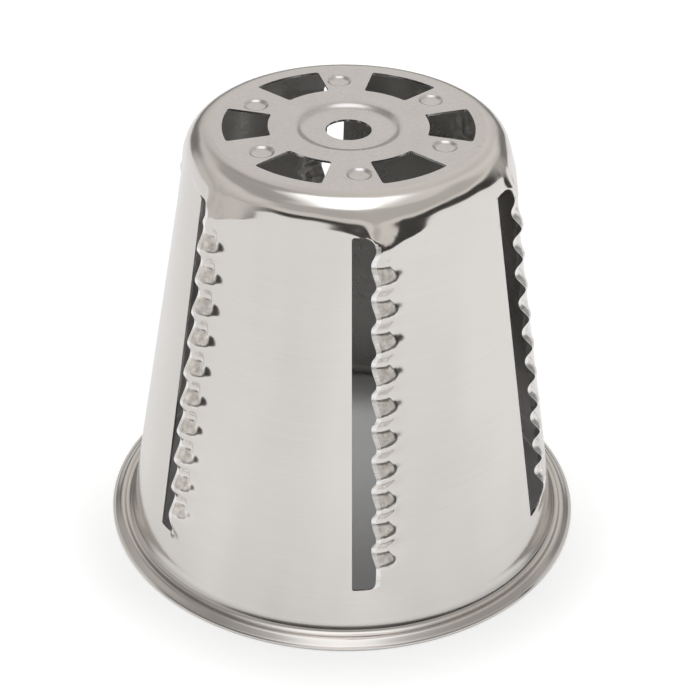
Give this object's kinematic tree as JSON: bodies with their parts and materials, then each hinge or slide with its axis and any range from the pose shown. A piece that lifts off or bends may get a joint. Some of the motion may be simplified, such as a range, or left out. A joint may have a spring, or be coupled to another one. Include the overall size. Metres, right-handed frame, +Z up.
{
  "type": "vegetable cutting cone",
  "caption": "Tapered stainless cutting cone for a hand cranked vegetable cutter: slots edged by raised wavy blades, a windowed drive end with a round bore, and a flanged rim.",
  "frame": {"origin": "middle of the plane that the flange's lip stands on", "axes": "+Z up the cone's axis to the small driven end, -Y to the front, +X to the right"},
  "size_m": [0.108, 0.108, 0.0962],
  "materials": {
    "satin_end_steel": "satin",
    "brushed_wall_steel": "fine brushed, nearly polished",
    "pressed_blade_steel": "pressed, with a ground edge",
    "polished_rim_steel": "polished, spun"
  },
  "bodies": {
    "root": {"blade_1": "pressed_blade_steel", "blade_2": "pressed_blade_steel", "blade_3": "pressed_blade_steel", "blade_4": "pressed_blade_steel", "blade_5": "pressed_blade_steel", "blade_6": "pressed_blade_steel", "drive_hub": "satin_end_steel", "inner_web_ring": "satin_end_steel", "lower_wall_band": "brushed_wall_steel", "outer_web_ring": "satin_end_steel", "rim_bead": "polished_rim_steel", "rim_flare": "polished_rim_steel", "rim_lip": "polished_rim_steel", "shoulder": "brushed_wall_steel", "spoke_1": "satin_end_steel", "spoke_2": "satin_end_steel", "spoke_3": "satin_end_steel", "spoke_4": "satin_end_steel", "spoke_5": "satin_end_steel", "spoke_6": "satin_end_steel", "upper_wall_band": "brushed_wall_steel", "wall_panel_1": "brushed_wall_steel", "wall_panel_2": "brushed_wall_steel", "wall_panel_3": "brushed_wall_steel", "wall_panel_4": "brushed_wall_steel", "wall_panel_5": "brushed_wall_steel", "wall_panel_6": "brushed_wall_steel"}
  },
  "joints": []
}
